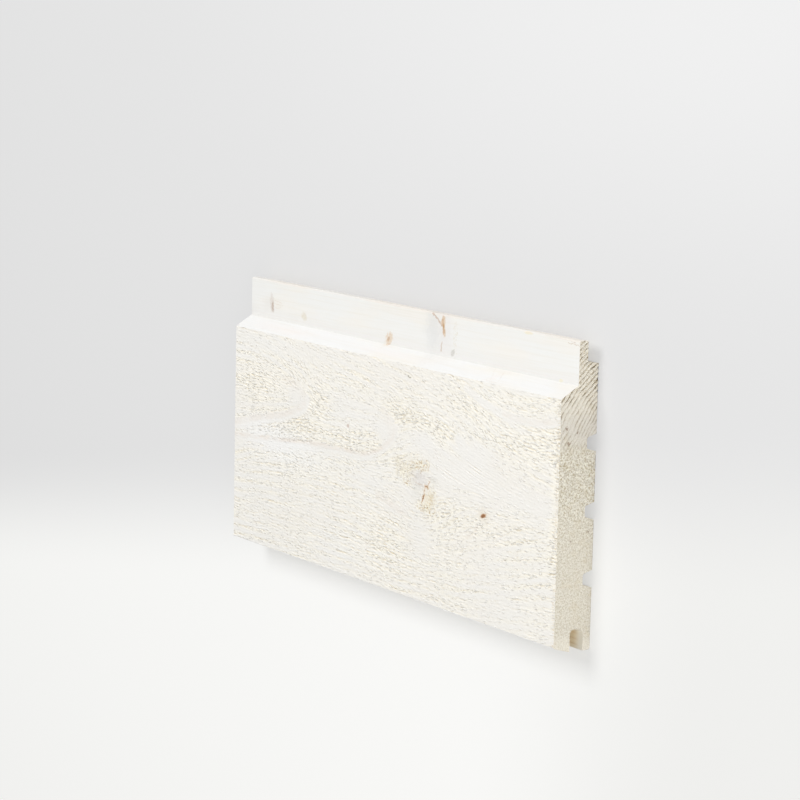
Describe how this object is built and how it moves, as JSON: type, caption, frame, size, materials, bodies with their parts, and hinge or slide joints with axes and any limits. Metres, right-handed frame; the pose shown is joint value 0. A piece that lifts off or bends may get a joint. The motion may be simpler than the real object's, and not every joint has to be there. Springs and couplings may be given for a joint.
{
  "type": "exterior cladding board",
  "caption": "Length of primed softwood weatherboard with a fine-sawn face, a tongue set back behind a smooth strip, a groove below and relief grooves along the back.",
  "frame": {"origin": "middle of the back face, which is the bottom centre of the bounding box", "axes": "+X along the board's length, +Y across its width towards the tongue edge, +Z through its thickness from the back face to the front face. The board lies flat on its back, as it would lie unheld on a level floor."},
  "size_m": [0.4, 0.195, 0.028],
  "materials": {
    "primed_softwood": "thin off-white primer, matt, over a fine-sawn softwood face; the other faces planed, the ends cut square and thinly primed"
  },
  "bodies": {
    "root": {"cladding_board": "primed_softwood"}
  },
  "joints": []
}
